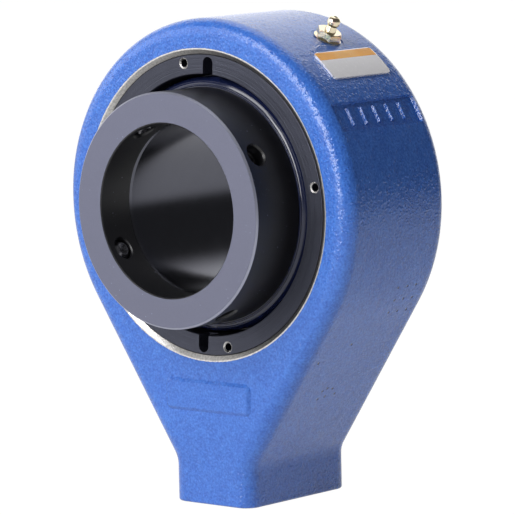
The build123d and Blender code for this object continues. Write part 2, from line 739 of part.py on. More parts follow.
def nipple_top():
    """Height of the nipple's head above the spot face."""
    return hexagon_top() + NIPPLE_NECK_LENGTH + NIPPLE_HEAD_LENGTH


def chamber_top():
    """Height above the spot face where the check chamber meets its conical seat."""
    return nipple_top() - NIPPLE_LID - NIPPLE_SEAT_LENGTH


def ball_radius():
    """Radius of the check ball, which runs in the chamber with a small gap."""
    return NIPPLE_CHAMBER_DIA / 2 - BALL_SIDE_GAP


def ball_height():
    """Height of the check ball's centre when it rests on its conical seat."""
    chamber_r = NIPPLE_CHAMBER_DIA / 2
    slope = (chamber_r - NIPPLE_ORIFICE_DIA / 2) / NIPPLE_SEAT_LENGTH
    reach = (ball_radius() + BALL_CLEARANCE) * sqrt(1 + slope ** 2)
    return chamber_top() + (chamber_r - reach) / slope


def nipple_hexagon():
    """Hexagon with its upper corners turned off, on a round coned flange."""
    flats_r = NIPPLE_HEX_FLATS / 2
    corner_r = flats_r / cos(pi / 6)
    flange_r = corner_r + NIPPLE_FLANGE_LIP
    top = hexagon_top()
    turned_blank = turned_upright([
        (0, 0),
        (corner_r, 0),
        (corner_r, top - NIPPLE_HEX_CHAMFER),
        (flats_r - NIPPLE_HEX_FACE_TRIM, top),
        (0, top),
    ])
    flange = turned_upright([
        (0, 0),
        (flange_r, 0),
        (flange_r, NIPPLE_FLANGE_RIM),
        (flats_r, NIPPLE_FLANGE_HEIGHT),
        (0, NIPPLE_FLANGE_HEIGHT),
    ])
    prism = Rot(0, 0, NIPPLE_HEX_TURN) * extrude(RegularPolygon(corner_r, 6), top)
    return (prism & turned_blank) + flange


def nipple_stem():
    """Turned shank, coned neck and domed head."""
    neck_r = NIPPLE_NECK_DIA / 2
    neck_top_r = NIPPLE_NECK_TOP_DIA / 2
    head_r = NIPPLE_HEAD_DIA / 2
    shank_r = NIPPLE_SHANK_DIA / 2
    neck_z = hexagon_top()
    head_z = neck_z + NIPPLE_NECK_LENGTH
    top = nipple_top()
    dome_z = top - NIPPLE_HEAD_DOME
    dome_slope = NIPPLE_HEAD_DOME * sqrt(0.5)
    dome = ThreePointArc(
        (head_r, dome_z),
        (head_r - NIPPLE_HEAD_DOME + dome_slope, dome_z + dome_slope),
        (head_r - NIPPLE_HEAD_DOME, top),
    )
    lower = Polyline(
        (0, -NIPPLE_SHANK_LENGTH),
        (shank_r - NIPPLE_SHANK_CHAMFER, -NIPPLE_SHANK_LENGTH),
        (shank_r, -NIPPLE_SHANK_LENGTH + NIPPLE_SHANK_CHAMFER),
        (shank_r, 0),
        (neck_r, 0),
        (neck_r, neck_z),
    )
    flare = Polyline(
        (neck_r, neck_z),
        (neck_top_r, head_z),
        (head_r, head_z + NIPPLE_HEAD_FLARE),
        (head_r, dome_z),
    )
    close = Polyline((head_r - NIPPLE_HEAD_DOME, top), (0, top), (0, -NIPPLE_SHANK_LENGTH))
    return revolve(Plane.XZ * make_face([lower, flare, dome, close]), Axis.Z)


def nipple_duct():
    """Grease way: orifice, conical seat, check chamber and feed hole."""
    chamber_r = NIPPLE_CHAMBER_DIA / 2
    feed_r = NIPPLE_FEED_DIA / 2
    orifice_r = NIPPLE_ORIFICE_DIA / 2
    floor_z = chamber_top() - NIPPLE_CHAMBER_LENGTH
    return turned_upright([
        (0, -NIPPLE_SHANK_LENGTH - OVERCUT),
        (feed_r, -NIPPLE_SHANK_LENGTH - OVERCUT),
        (feed_r, floor_z),
        (chamber_r, floor_z),
        (chamber_r, chamber_top()),
        (orifice_r, nipple_top() - NIPPLE_LID),
        (orifice_r, nipple_top() + OVERCUT),
        (0, nipple_top() + OVERCUT),
    ])


def make_grease_nipple():
    """Nipple: shank, chamfered hexagon, neck and head, drilled for ball and spring."""
    return nipple_plane() * (nipple_hexagon() + nipple_stem() - nipple_duct())


def make_nipple_ball():
    """Check ball on its seat."""
    return nipple_plane() * Pos(0, 0, ball_height()) * Sphere(ball_radius())


def make_nipple_spring():
    """Coil spring between the chamber's floor and the ball."""
    wire_r = SPRING_WIRE_DIA / 2
    coil_r = NIPPLE_CHAMBER_DIA / 2 - SPRING_SIDE_GAP - wire_r
    ball_contact = sqrt((ball_radius() + wire_r) ** 2 - coil_r ** 2)
    low = chamber_top() - NIPPLE_CHAMBER_LENGTH + wire_r + SPRING_END_GAP
    high = ball_height() - ball_contact - SPRING_END_GAP
    helix = Pos(0, 0, low) * Helix((high - low) / SPRING_TURNS, high - low, coil_r)
    wire = Plane(origin=helix @ 0, z_dir=helix % 0) * RegularPolygon(wire_r, 4)
    return nipple_plane() * sweep(wire, helix)


def make_nameplate():
    """Thin plate curved to the rim, with rounded corners."""
    plane = radial_plane(PLATE_ANGLE, HEAD_R / 2, PLATE_OFFSET)
    outline = RectangleRounded(PLATE_LENGTH, PLATE_HEIGHT, PLATE_CORNER)
    shell = turned([
        (-FACE_Y, HEAD_R),
        (-FACE_Y, HEAD_R + PLATE_THICKNESS),
        (FACE_Y, HEAD_R + PLATE_THICKNESS),
        (FACE_Y, HEAD_R),
    ])
    return extrude(plane * outline, HEAD_R) & shell


def build_parts():
    """All pieces of the bearing by name."""
    parts = {
        "housing": make_housing(),
        "outer_ring": make_outer_ring(),
        "threaded_cover": make_threaded_cover(),
        "grease_nipple": make_grease_nipple(),
        "nipple_ball": make_nipple_ball(),
        "nipple_spring": make_nipple_spring(),
        "nameplate": make_nameplate(),
        "guide_ring": make_guide_ring(),
        "front_rollers": make_rollers(-1),
        "rear_rollers": make_rollers(1),
        "front_cage": make_cage(-1),
        "rear_cage": make_cage(1),
        "inner_ring": make_inner_ring(),
        "front_seal": make_front_seal(),
        "rear_seal": make_rear_seal(),
        "locking_collar": make_locking_collar(),
    }
    for index, angle in enumerate(screw_angles()):
        parts[f"set_screw_{index + 1}"] = make_set_screw(angle)
    return parts


os.makedirs("parts", exist_ok=True)
for name, part in build_parts().items():
    export_step(part, f"parts/{name}.step")
print(f"Collar lock jams after {degrees(2 * asin(CAM_CLEARANCE / 2 / CAM_OFFSET)):.2f} degrees.")
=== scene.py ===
"""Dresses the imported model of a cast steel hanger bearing.

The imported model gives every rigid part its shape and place. This script gives each part its
finish, adds the small pieces that the solids leave out, and sets the studio and the camera.
Lengths are in metres and angles in radians. Shares, gloss and colours have no unit.
"""

from __future__ import annotations

import logging
import math
from dataclasses import dataclass, field
from enum import Enum
from typing import Any, Mapping, Optional, Sequence, Tuple, Union

import bpy
from mathutils import Matrix, Vector


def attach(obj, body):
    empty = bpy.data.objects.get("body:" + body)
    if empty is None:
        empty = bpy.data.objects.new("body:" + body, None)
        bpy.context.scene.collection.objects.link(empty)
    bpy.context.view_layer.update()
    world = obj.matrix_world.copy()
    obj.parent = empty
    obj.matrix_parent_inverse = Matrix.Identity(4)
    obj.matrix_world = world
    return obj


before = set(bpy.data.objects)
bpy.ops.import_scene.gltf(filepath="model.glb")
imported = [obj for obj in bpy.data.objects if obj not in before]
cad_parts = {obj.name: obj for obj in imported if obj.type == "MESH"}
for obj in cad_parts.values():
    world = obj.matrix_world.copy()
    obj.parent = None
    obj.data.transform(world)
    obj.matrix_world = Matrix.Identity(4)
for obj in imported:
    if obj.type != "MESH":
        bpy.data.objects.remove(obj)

LOG = logging.getLogger("hanger_bearing")
AXIS_HEIGHT = 0.1304

Colour = Tuple[float, float, float]
Place = Tuple[float, float, float]
Pair = Tuple[float, float]
Value = Union["Socket", float, Sequence[float]]

WHITE: Colour = (1.0, 1.0, 1.0)
TOOL_MARK_LAYERS = 3.0
TOOL_MARK_STRENGTH = 0.7

DISPLAY_TOP = 255
DISPLAY_KNEE = 0.04045
DISPLAY_SLOPE = 12.92
DISPLAY_OFFSET = 0.055
DISPLAY_POWER = 2.4

MIX_FACTOR = 0
MIX_FIRST_NUMBER = 2
MIX_SECOND_NUMBER = 3
MIX_FIRST_COLOUR = 6
MIX_SECOND_COLOUR = 7
MIX_NUMBER_RESULT = 0
MIX_COLOUR_RESULT = 2


class Body(Enum):
    """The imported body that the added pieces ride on."""

    SHAFT = "shaft_unit"


def display(red: int, green: int, blue: int) -> Colour:
    """Turns a display colour into the linear one that a shader takes.

    Args:
        red: Red from 0 to 255.
        green: Green from 0 to 255.
        blue: Blue from 0 to 255.

    Returns:
        The linear colour.
    """
    linear = []
    for part in (red / DISPLAY_TOP, green / DISPLAY_TOP, blue / DISPLAY_TOP):
        if part <= DISPLAY_KNEE:
            linear.append(part / DISPLAY_SLOPE)
        else:
            linear.append(((part + DISPLAY_OFFSET) / (1 + DISPLAY_OFFSET)) ** DISPLAY_POWER)
    return tuple(linear)


def scaled(colour: Colour, share: float) -> Colour:
    """Gives a colour with each part times a share."""
    return tuple(share * part for part in colour)


@dataclass(frozen=True)
class Grain:
    """A noise: the size of its spots, its finer layers and their strength."""

    size: float
    layers: float = 2.0
    strength: float = 0.5


class Socket:
    """One output socket of a shader, with Python's operators on it."""

    def __init__(self, sheet: "NodeSheet", source: bpy.types.NodeSocket) -> None:
        """Keeps the socket and the sheet that it is on."""
        self.sheet = sheet
        self.source = source

    def _math(self, operation: str, *values: Value, clamp: bool = False) -> "Socket":
        """Adds one Math node.

        Args:
            operation: The node's operation.
            values: The node's inputs in order.
            clamp: Whether the result stays between 0 and 1.

        Returns:
            The node's result.
        """
        settings = {"operation": operation, "use_clamp": clamp}
        return self.sheet.node("ShaderNodeMath", settings, dict(enumerate(values)))["Value"]

    def __add__(self, other: Value) -> "Socket":
        """Adds a value."""
        return self._math("ADD", self, other)

    def __sub__(self, other: Value) -> "Socket":
        """Takes a value away."""
        return self._math("SUBTRACT", self, other)

    def __rsub__(self, other: Value) -> "Socket":
        """Takes this away from a value."""
        return self._math("SUBTRACT", other, self)

    def __mul__(self, other: Value) -> "Socket":
        """Multiplies by a value."""
        return self._math("MULTIPLY", self, other)

    def __abs__(self) -> "Socket":
        """Drops the sign."""
        return self._math("ABSOLUTE", self)

    def __gt__(self, other: Value) -> "Socket":
        """Gives 1 where this is the larger."""
        return self._math("GREATER_THAN", self, other)

    def __lt__(self, other: Value) -> "Socket":
        """Gives 1 where this is the smaller."""
        return self._math("LESS_THAN", self, other)

    def root(self) -> "Socket":
        """Gives the square root."""
        return self._math("SQRT", self)

    def sine(self) -> "Socket":
        """Gives the sine."""
        return self._math("SINE", self)

    def angle(self, other: Value) -> "Socket":
        """Gives the angle whose tangent is this over another value."""
        return self._math("ARCTAN2", self, other)

    def smaller(self, other: Value) -> "Socket":
        """Gives the smaller of the two."""
        return self._math("MINIMUM", self, other)

    def limited(self) -> "Socket":
        """Holds the value between 0 and 1."""
        return self._math("ADD", self, 0.0, clamp=True)

    def spread(self, reach: float) -> "Socket":
        """Turns a value from 0 to 1 into a swing of that whole reach about nothing."""
        return self * reach - reach / 2

    def ramp(self, start: float, end: float) -> "Socket":
        """Rises smoothly from 0 at start to 1 at end.

        Args:
            start: The value that gives 0.
            end: The value that gives 1.

        Returns:
            The smooth step.
        """
        rising = start < end
        inputs = {
            "Value": self,
            "From Min": start if rising else end,
            "From Max": end if rising else start,
            "To Min": 0.0 if rising else 1.0,
            "To Max": 1.0 if rising else 0.0,
        }
        settings = {"interpolation_type": "SMOOTHSTEP"}
        return self.sheet.node("ShaderNodeMapRange", settings, inputs)["Result"]


class MadeNode:
    """A node that has been placed, whose outputs are read by name."""

    def __init__(self, sheet: "NodeSheet", node: bpy.types.Node) -> None:
        """Keeps the node and the sheet that it is on."""
        self.sheet = sheet
        self.node = node

    def __getitem__(self, name: Union[str, int]) -> Socket:
        """Gives the output of that name or number."""
        return Socket(self.sheet, self.node.outputs[name])


@dataclass(frozen=True)
class Spot:
    """A shaded point: its place, the place's three parts, and its distance from the shaft's axis."""

    place: Socket
    x: Socket
    y: Socket
    z: Socket
    radius: Socket


class NodeSheet:
    """A node tree that is filled by method calls and by sums on sockets."""

    def __init__(self, tree: bpy.types.NodeTree) -> None:
        """Starts with an empty tree."""
        self.tree = tree
        tree.nodes.clear()

    def node(
        self,
        kind: str,
        settings: Optional[Mapping[str, Any]] = None,
        inputs: Optional[Mapping[Union[str, int], Value]] = None,
    ) -> MadeNode:
        """Places any node.

        Args:
            kind: The node's type.
            settings: Its settings, with a colour ramp's stops under "stops".
            inputs: Values or sockets by input name or number.

        Returns:
            The node.
        """
        made = self.tree.nodes.new(kind)
        for name, setting in (settings or {}).items():
            if name == "stops":
                elements = made.color_ramp.elements
                while len(elements) < len(setting):
                    elements.new(0.5)
                for element, (place, colour) in zip(elements, setting):
                    element.position = place
                    element.color = (*colour, 1.0)
            else:
                setattr(made, name, setting)
        for name, value in (inputs or {}).items():
            self.feed(made.inputs[name], value)
        return MadeNode(self, made)

    def feed(self, target: bpy.types.NodeSocket, value: Value) -> None:
        """Links a socket to an input, or sets the input's own value.

        Args:
            target: The input.
            value: A socket, a number or a colour.
        """
        if isinstance(value, Socket):
            self.tree.links.new(value.source, target)
        elif isinstance(value, (int, float)) or target.type != "RGBA":
            target.default_value = value
        else:
            target.default_value = (*value, 1.0)

    def blend(self, factor: Value, first: Value, second: Value) -> Socket:
        """Mixes two colours.

        Args:
            factor: The share of the second.
            first: The first colour.
            second: The second colour.

        Returns:
            The mixed colour.
        """
        settings = {"data_type": "RGBA", "blend_type": "MIX", "clamp_factor": True}
        inputs = {MIX_FACTOR: factor, MIX_FIRST_COLOUR: first, MIX_SECOND_COLOUR: second}
        return self.node("ShaderNodeMix", settings, inputs)[MIX_COLOUR_RESULT]

    def between(self, factor: Value, first: Value, second: Value) -> Socket:
        """Mixes two numbers, the second by the factor."""
        inputs = {MIX_FACTOR: factor, MIX_FIRST_NUMBER: first, MIX_SECOND_NUMBER: second}
        return self.node("ShaderNodeMix", {"data_type": "FLOAT"}, inputs)[MIX_NUMBER_RESULT]

    def noise(self, place: Socket, grain: Grain) -> Socket:
        """Gives a noise from 0 to 1.

        Args:
            place: The coordinates.
            grain: The noise's size, layers and strength.

        Returns:
            The noise.
        """
        inputs = {
            "Vector": place,
            "Scale": 1 / grain.size,
            "Detail": grain.layers,
            "Roughness": grain.strength,
        }
        return self.node("ShaderNodeTexNoise", {"noise_dimensions": "3D"}, inputs)["Fac"]

    def cells(self, place: Socket, size: float) -> Socket:
        """Gives the distance to the nearest of many scattered points.

        Args:
            place: The coordinates.
            size: The spacing of the points.

        Returns:
            The distance as a share of the spacing.
        """
        inputs = {"Vector": place, "Scale": 1 / size, "Randomness": 1.0}
        return self.node("ShaderNodeTexVoronoi", {"feature": "F1"}, inputs)["Distance"]

    def lines(self, distance: Socket, pitch: float) -> Socket:
        """Gives the uneven lines of a turning tool.

        Args:
            distance: The distance across the lines.
            pitch: The spacing of the lines.

        Returns:
            The height of the lines from 0 to 1.
        """
        inputs = {
            "W": distance,
            "Scale": 1 / pitch,
            "Detail": TOOL_MARK_LAYERS,
            "Roughness": TOOL_MARK_STRENGTH,
        }
        return self.node("ShaderNodeTexNoise", {"noise_dimensions": "1D"}, inputs)["Fac"]

    def bump(self, height: Socket, depth: float) -> Socket:
        """Turns a height into a normal.

        Args:
            height: The height from 0 to 1.
            depth: The height of 1 in metres.

        Returns:
            The normal.
        """
        inputs = {"Strength": 1.0, "Distance": depth, "Height": height}
        return self.node("ShaderNodeBump", None, inputs)["Normal"]

    def place(self) -> Socket:
        """Gives Object coordinates with their middle on the bearing's axis.

        Returns:
            The coordinates.
        """
        coordinates = self.node("ShaderNodeTexCoord")["Object"]
        inputs = {"Vector": coordinates, "Location": (0, 0, -AXIS_HEIGHT)}
        return self.node("ShaderNodeMapping", {"vector_type": "POINT"}, inputs)[0]

    def split(self, place: Socket) -> Tuple[Socket, Socket, Socket]:
        """Gives the three parts of a vector."""
        parts = self.node("ShaderNodeSeparateXYZ", None, {0: place})
        return parts["X"], parts["Y"], parts["Z"]

    def spot(self) -> Spot:
        """Gives the shaded point about the bearing's axis.

        Returns:
            The point.
        """
        place = self.place()
        x, y, z = self.split(place)
        return Spot(place, x, y, z, (x * x + z * z).root())


@dataclass(frozen=True)
class Finish:
    """A finish, named for what it covers, with the name of the slot that it stands for."""

    name: str
    slot: str

    def shade(self, sheet: NodeSheet) -> Mapping[str, Value]:
        """Gives the values and links of the surface shader.

        Args:
            sheet: The tree to place nodes on.

        Returns:
            The shader's inputs by name.
        """
        raise NotImplementedError

    def material(self) -> bpy.types.Material:
        """Makes the material once, and gives the same one after that.

        Returns:
            The material.
        """
        made = bpy.data.materials.get(self.name)
        if made is None:
            made = bpy.data.materials.new(self.name)
            made.use_nodes = True
            sheet = NodeSheet(made.node_tree)
            surface = sheet.node("ShaderNodeBsdfPrincipled", None, self.shade(sheet))
            sheet.node("ShaderNodeOutputMaterial", None, {"Surface": surface["BSDF"]})
        return made


@dataclass(frozen=True)
class CastPaint(Finish):
    """Glossy blue enamel over a sand casting, bare where the mouth and the foot are machined."""

    paint: Colour = display(72, 126, 214)
    deep: Colour = display(40, 86, 176)
    gloss: float = 0.19
    gloss_spread: float = 0.16
    lacquer_index: float = 1.56
    wave_tone: float = 0.4
    lump_tone: float = 0.5
    fine_tone: float = 2.0
    tone_level: float = 0.93

    fine: Grain = Grain(size=0.0010, layers=2.0, strength=0.6)
    lumps: Grain = Grain(size=0.0038)
    waves: Grain = Grain(size=0.028)
    bead_spacing: float = 0.0017
    bead_ramp: Pair = (0.50, 0.05)
    fine_height: float = 1.2
    bead_height: float = 0.75
    lump_height: float = 1.7
    wave_height: float = 1.6
    pit_height: float = 3.0
    skin_depth: float = 0.00014

    steel: Colour = (0.74, 0.72, 0.70)
    worn_share: float = 0.45
    worn_ramp: Pair = (0.40, 0.62)
    worn_cover: float = 0.5
    scratches: Grain = Grain(size=0.0011, layers=3.0, strength=0.7)
    steel_gloss: float = 0.35
    turned_gloss_spread: float = 0.20
    scratch_gloss_spread: float = 0.30
    turned_pitch: float = 0.00035
    turned_lean: float = 0.35
    turned_height: float = 0.10

    mouth_radius: float = 0.06765
    mouth_edge: Grain = Grain(size=0.0016, layers=2.0, strength=0.6)
    mouth_edge_reach: float = 0.0005
    rear_paint: float = 0.0300
    foot_skin: float = 0.0002
    thread_radius: float = 0.0118
    thread_reach: float = 0.045
    thread_pitch: float = 0.003175
    thread_height: float = 3.0

    pit_size: float = 0.00055
    pit_slope: float = 0.000275
    pit_edge: Grain = Grain(size=0.0008, layers=1.0)
    pit_edge_reach: float = 0.0007
    pit_cover: float = 0.85
    pit_painted_shade: float = 0.10
    pit_columns: int = 3
    pit_pitch: float = 0.0061
    pit_rows: Sequence[Place] = (
        (0.0652, 0.0101, -0.0468),
        (0.0688, 0.0098, -0.0413),
        (0.0719, 0.0088, -0.0355),
    )
    lone_pits: Sequence[Place] = (
        (0.0719, -0.0105, -0.0367),
        (0.0568, -0.0051, -0.0594),
        (0.0526, -0.0224, -0.0658),
        (0.0414, 0.0016, -0.0828),
        (0.0432, -0.0019, -0.0800),
        (0.0410, -0.0048, -0.0832),
        (0.0405, -0.0089, -0.0841),
        (0.0429, -0.0083, -0.0804),
        (0.0436, -0.0057, -0.0794),
    )

    def pits(self, sheet: NodeSheet, place: Socket) -> Socket:
        """Gives the small casting pits of the right-hand flank.

        Args:
            sheet: The tree to place nodes on.
            place: The coordinates.

        Returns:
            1 in the middle of a pit and 0 outside.
        """
        points = list(self.lone_pits)
        for x, y, z in self.pit_rows:
            points.extend((x, y + column * self.pit_pitch, z) for column in range(self.pit_columns))
        nearest = None
        settings = {"operation": "DISTANCE"}
        for point in points:
            reach = sheet.node("ShaderNodeVectorMath", settings, {0: place, 1: point})["Value"]
            nearest = reach if nearest is None else nearest.smaller(reach)
        ragged = sheet.noise(place, self.pit_edge).spread(self.pit_edge_reach)
        return (nearest + ragged).ramp(self.pit_size + self.pit_slope, self.pit_size - self.pit_slope)

    def tapped(self, spot: Spot) -> Socket:
        """Gives 1 inside the hanger hole in the foot.

        Args:
            spot: The shaded point.

        Returns:
            1 in the hole and 0 elsewhere.
        """
        post = (spot.x * spot.x + spot.y * spot.y).root()
        return (post < self.thread_radius) * (spot.z < (self.thread_reach - AXIS_HEIGHT))

    def bare(self, sheet: NodeSheet, spot: Spot, tapped: Socket) -> Socket:
        """Gives 1 where the casting is machined and has no paint.

        Args:
            sheet: The tree to place nodes on.
            spot: The shaded point.
            tapped: 1 in the hanger hole.

        Returns:
            1 on bare steel and 0 on paint.
        """
        wander = sheet.noise(spot.place, self.mouth_edge).spread(self.mouth_edge_reach)
        mouth = ((spot.radius + wander) < self.mouth_radius) * (spot.y < self.rear_paint)
        underside = spot.z < (self.foot_skin - AXIS_HEIGHT)
        return (mouth + underside + tapped).limited()

    def shade(self, sheet: NodeSheet) -> Mapping[str, Value]:
        """Lays the enamel on the cast skin and bares the machined mouth.

        Args:
            sheet: The tree to place nodes on.

        Returns:
            The shader's inputs by name.
        """
        spot = sheet.spot()
        tapped = self.tapped(spot)
        bare = self.bare(sheet, spot, tapped)
        pits = self.pits(sheet, spot.place)
        fine = sheet.noise(spot.place, self.fine)
        lumps = sheet.noise(spot.place, self.lumps)
        waves = sheet.noise(spot.place, self.waves)
        beads = sheet.cells(spot.place, self.bead_spacing).ramp(*self.bead_ramp)
        tone = waves * self.wave_tone + lumps * self.lump_tone + fine * self.fine_tone - self.tone_level
        enamel = sheet.blend(tone.limited(), self.deep, self.paint)
        # Painted shade: the pits are darkened to a tenth of the deep blue.
        enamel = sheet.blend(pits * self.pit_cover, enamel, scaled(self.deep, self.pit_painted_shade))
        skin = fine * self.fine_height + beads * self.bead_height + lumps * self.lump_height
        skin = skin + waves * self.wave_height - pits * self.pit_height
        turned = sheet.lines(spot.radius + spot.y * self.turned_lean, self.turned_pitch)
        turns = spot.z * (math.tau / self.thread_pitch) + spot.y.angle(spot.x)
        machined = turned * self.turned_height + turns.sine() * tapped * self.thread_height
        scratched = sheet.noise(spot.place, self.scratches)
        wear_and_painted_edge_highlight = scratched.ramp(*self.worn_ramp) * self.worn_cover
        steel = sheet.blend(wear_and_painted_edge_highlight, self.steel, scaled(self.steel, self.worn_share))
        paint_rough = fine.spread(self.gloss_spread) + self.gloss
        steel_rough = turned.spread(self.turned_gloss_spread) + scratched.spread(self.scratch_gloss_spread)
        return {
            "Base Color": sheet.blend(bare, enamel, steel),
            "Metallic": bare,
            "Roughness": sheet.between(bare, paint_rough, steel_rough + self.steel_gloss),
            "Normal": sheet.bump(sheet.between(bare, skin, machined), self.skin_depth),
            "IOR": self.lacquer_index,
        }


@dataclass(frozen=True)
class TurnedSteel(Finish):
    """Steel with an oxide or ground finish and the fine rings of the turning tool."""

    tint: Colour
    rough: float
    metal: float
    pitch: float
    depth: float
    bloom: Grain = Grain(size=0.006, layers=3.0, strength=0.6)
    speck: Grain = Grain(size=0.0007, layers=1.0)
    bloom_shade: float = 0.5
    speck_shade: float = 0.3
    ring_shade: float = 0.2
    dark_share: float = 0.82
    light_share: float = 1.18
    bloom_gloss_spread: float = 0.08
    ring_gloss_spread: float = 0.06

    def shade(self, sheet: NodeSheet) -> Mapping[str, Value]:
        """Lays turning rings and a faint bloom over the steel.

        Args:
            sheet: The tree to place nodes on.

        Returns:
            The shader's inputs by name.
        """
        spot = sheet.spot()
        rings = sheet.lines(spot.radius + spot.y, self.pitch)
        bloom = sheet.noise(spot.place, self.bloom)
        speck = sheet.noise(spot.place, self.speck)
        shade = bloom * self.bloom_shade + speck * self.speck_shade + rings * self.ring_shade
        dark = scaled(self.tint, self.dark_share)
        light = scaled(self.tint, self.light_share)
        gloss = bloom.spread(self.bloom_gloss_spread) + rings.spread(self.ring_gloss_spread)
        return {
            "Base Color": sheet.blend(shade.limited(), dark, light),
            "Metallic": self.metal,
            "Roughness": gloss + self.rough,
            "Normal": sheet.bump(rings, self.depth),
        }


@dataclass(frozen=True)
class CoverSteel(TurnedSteel):
    """The threaded cover's dark oxide, cut bright in the countersinks of its small holes."""

    bright: Colour = (0.46, 0.45, 0.44)
    bright_rough: float = 0.24
    hole_circle: float = 0.0616
    hole_radius: float = 0.00173
    sink_radius: float = 0.00240
    first_angle: float = math.radians(10.0)
    holes: int = 4
    # Painted shade: a near-black colour for the gap round the cover's outer edge.
    painted_gap_shade: Colour = (0.004, 0.004, 0.005)
    painted_gap_shade_radius: float = 0.0650
    painted_gap_shade_width: float = 0.0004
    painted_gap_shade_rough: float = 0.4

    def sinks(self, spot: Spot) -> Socket:
        """Gives the countersinks of the small holes.

        Args:
            spot: The shaded point.

        Returns:
            1 on a countersink and 0 elsewhere.
        """
        nearest = None
        for index in range(self.holes):
            angle = self.first_angle + index * math.tau / self.holes
            across = spot.x - self.hole_circle * math.cos(angle)
            upward = spot.z - self.hole_circle * math.sin(angle)
            reach = (across * across + upward * upward).root()
            nearest = reach if nearest is None else nearest.smaller(reach)
        return (nearest < self.sink_radius) * (nearest > self.hole_radius)

    def shade(self, sheet: NodeSheet) -> Mapping[str, Value]:
        """Adds the bright countersinks and a painted shade along the outer edge to the turned oxide.

        Args:
            sheet: The tree to place nodes on.

        Returns:
            The shader's inputs by name.
        """
        inputs = dict(super().shade(sheet))
        spot = sheet.spot()
        sink = self.sinks(spot)
        # Painted shade: the oxide goes near black over the outer edge, where the gap to the housing lies.
        painted_gap_shade = spot.radius.ramp(self.painted_gap_shade_radius - self.painted_gap_shade_width, self.painted_gap_shade_radius)
        oxide = sheet.blend(painted_gap_shade, inputs["Base Color"], self.painted_gap_shade)
        dull = inputs["Roughness"] + painted_gap_shade * self.painted_gap_shade_rough
        inputs["Base Color"] = sheet.blend(sink, oxide, self.bright)
        inputs["Metallic"] = sink * (1.0 - self.metal) + self.metal
        inputs["Roughness"] = sheet.between(sink, dull, self.bright_rough)
        return inputs


@dataclass(frozen=True)
class CollarSteel(Finish):
    """Black oxide steel whose faced end is a lighter satin grey."""

    black: Colour = display(30, 30, 34)
    black_share: float = 0.7
    black_rough: float = 0.38
    grey: Colour = display(106, 108, 127)
    grey_share: float = 0.82
    grey_rough: float = 0.51
    grey_metal: float = 0.35
    gloss_spread: float = 0.1
    # Painted highlight: a bright metal colour for the chamfer at the faced end's outer edge.
    bright: Colour = display(150, 152, 168)
    bright_metal: float = 0.8
    shadow: Colour = (0.003, 0.003, 0.004)

    face: float = -0.05835
    edge_radius: float = 0.0498
    edge_width: float = 0.0008
    bore_radius: float = 0.0378
    recess_radius: float = 0.0460
    recess_start: float = -0.0415

    dust: Colour = display(150, 156, 176)
    dust_cover: float = 0.55
    dust_spacing: float = 0.0024
    dust_ramp: Pair = (0.07, 0.14)
    dust_patches: Grain = Grain(size=0.008)
    patch_ramp: Pair = (0.50, 0.62)

    speck: Grain = Grain(size=0.0006, layers=2.0, strength=0.6)
    bloom: Grain = Grain(size=0.009, layers=3.0, strength=0.6)
    ring_pitch: float = 0.00028
    ring_lean: float = 0.8
    oxide_speck: float = 0.4
    satin_rings: float = 0.2
    ring_height: float = 0.5
    speck_height: float = 0.8
    depth: float = 0.000020

    def dusty(self, sheet: NodeSheet, place: Socket) -> Socket:
        """Gives the few specks of dust.

        Args:
            sheet: The tree to place nodes on.
            place: The coordinates.

        Returns:
            1 on a speck and 0 elsewhere.
        """
        specks = 1.0 - sheet.cells(place, self.dust_spacing).ramp(*self.dust_ramp)
        return specks * sheet.noise(place, self.dust_patches).ramp(*self.patch_ramp)

    def shade(self, sheet: NodeSheet) -> Mapping[str, Value]:
        """Lightens the faced end, paints a highlight on its outer chamfer and keeps the rest nearly black.

        Args:
            sheet: The tree to place nodes on.

        Returns:
            The shader's inputs by name.
        """
        spot = sheet.spot()
        faced = spot.y < self.face
        near_face = spot.y < (self.face + self.edge_width)
        # Painted highlight on the thin chamfer round the faced end's outer edge.
        edge = (spot.radius > self.edge_radius) * near_face * (1.0 - faced)
        within = (spot.radius > self.bore_radius) * (spot.radius < self.recess_radius)
        recess = within * (spot.y > self.recess_start)
        rings = sheet.lines(spot.radius + spot.y * self.ring_lean, self.ring_pitch)
        speck = sheet.noise(spot.place, self.speck)
        bloom = sheet.noise(spot.place, self.bloom)
        patchy = bloom * (1.0 - self.oxide_speck) + speck * self.oxide_speck
        oxide = sheet.blend(patchy, scaled(self.black, self.black_share), self.black)
        oxide = sheet.blend(recess, oxide, self.shadow)
        turned = speck * (1.0 - self.satin_rings) + rings * self.satin_rings
        satin = sheet.blend(turned, scaled(self.grey, self.grey_share), self.grey)
        wear_and_painted_edge_highlight = sheet.blend(edge, sheet.blend(faced, oxide, satin), self.bright)
        black_rough = bloom.spread(self.gloss_spread) + self.black_rough
        grey_rough = speck.spread(self.gloss_spread) + self.grey_rough
        return {
            "Base Color": sheet.blend(self.dusty(sheet, spot.place) * self.dust_cover, wear_and_painted_edge_highlight, self.dust),
            "Metallic": faced * self.grey_metal + edge * self.bright_metal,
            "Roughness": sheet.between(faced, black_rough, grey_rough),
            "Normal": sheet.bump(rings * self.ring_height + speck * self.speck_height, self.depth),
        }


